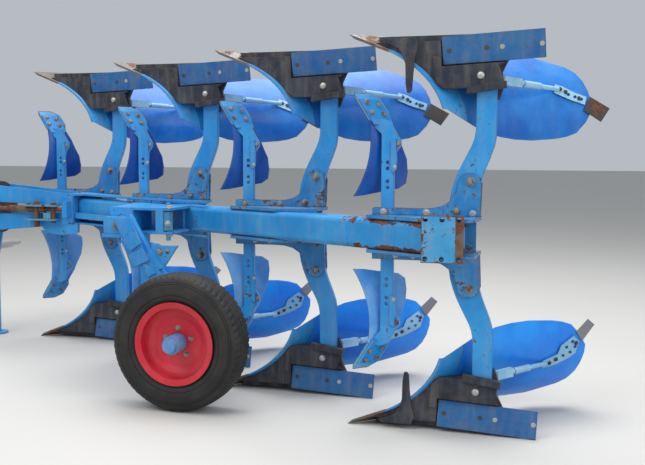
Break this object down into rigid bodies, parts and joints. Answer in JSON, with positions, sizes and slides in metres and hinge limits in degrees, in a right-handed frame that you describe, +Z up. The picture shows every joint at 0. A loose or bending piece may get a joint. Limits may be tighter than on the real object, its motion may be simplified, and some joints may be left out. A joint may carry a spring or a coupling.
{
  "type": "mounted reversible moldboard plough",
  "caption": "Reversible moldboard plough with blue lower and upper bodies on a slanted square beam, skimmers, depth wheel and turnover headstock",
  "frame": {"origin": "centre of the bounding box, on the ground plane", "axes": "+X rearwards (travel is towards -X), +Y to the plough's right, +Z up"},
  "size_m": [4.426, 2.197, 1.8],
  "materials": {
    "frame_paint": "semi-gloss bright blue, chipped and rusty at edges",
    "board_paint": "glossy deep blue",
    "landside_paint": "worn blue",
    "frog_paint": "dark grey satin",
    "worn_steel": "soil-worn steel with rust",
    "zinc_steel": "dull zinc",
    "dark_steel": "dark brown-grey, weathered",
    "rusty_steel": "rusty brown",
    "rim_paint": "faded red",
    "tyre": "dusty black",
    "rod_chrome": "bright"
  },
  "bodies": {
    "frame": {"beam": "frame_paint", "beam_flange": "rusty_steel", "console_plates": "frame_paint", "console_cheeks": "frame_paint", "legs_lower": "frame_paint", "legs_upper": "frame_paint", "frogs_lower": "frog_paint", "frogs_upper": "frog_paint", "moldboards_lower": "board_paint", "moldboards_upper": "board_paint", "shins_lower": "landside_paint", "shins_upper": "landside_paint", "shares_lower": "worn_steel", "shares_upper": "worn_steel", "landsides_lower": "landside_paint", "landsides_upper": "landside_paint", "stays_lower": "zinc_steel", "stays_upper": "zinc_steel", "tail_strips_lower": "dark_steel", "tail_strips_upper": "dark_steel", "skimmer_stems": "frame_paint", "skimmer_boards_lower": "board_paint", "skimmer_boards_upper": "board_paint", "skimmer_shares": "worn_steel", "landside_knives": "worn_steel", "swing_arm": "frame_paint", "turnbuckle": "rusty_steel", "turnover_shaft": "dark_steel", "wheel_bracket": "frame_paint", "arm_spindle": "rusty_steel"},
    "headstock": {"headstock": "frame_paint", "link_shaft": "zinc_steel"},
    "stand": {"stand": "frame_paint"},
    "turn_barrel": {"turn_barrel": "dark_steel"},
    "turn_rod": {"turn_rod": "rod_chrome"},
    "wheel_arm": {"wheel_arm": "frame_paint"},
    "wheel": {"wheel_hub": "frame_paint", "wheel_rim": "rim_paint", "tyre": "tyre"}
  },
  "joints": [
    {"name": "turnover", "type": "hinge", "parent": "frame", "child": "headstock", "pos_m": [-1.868, 0.2782, 0.9], "axis": [1, 0, 0], "range_deg": [0, 180]},
    {"name": "turn_barrel_swing", "type": "hinge", "parent": "headstock", "child": "turn_barrel", "pos_m": [-2.168, 0.2782, 1.38], "axis": [1, 0, 0], "range_deg": [0, 28.1]},
    {"name": "turn_rod_slide", "type": "slide", "parent": "turn_barrel", "child": "turn_rod", "axis": [0, -0.2425, -0.9701], "range_m": [-0.1348, 0]},
    {"name": "wheel_arm_swing", "type": "hinge", "parent": "frame", "child": "wheel_arm", "pos_m": [-0.288, -0.4618, 0.9], "axis": [0, 1, 0], "range_deg": [-95.6, 0]},
    {"name": "wheel_spin", "type": "hinge", "parent": "wheel_arm", "child": "wheel", "pos_m": [0.22, -0.8918, 0.34], "axis": [0, 1, 0], "continuous": true},
    {"name": "stand_slide", "type": "slide", "parent": "headstock", "child": "stand", "axis": [0, 0, 1], "range_m": [0, 0.4]}
  ],
  "couplings": [
    {"joint": "turn_barrel_swing", "follows": "turnover", "ratio": 0.15596}
  ]
}
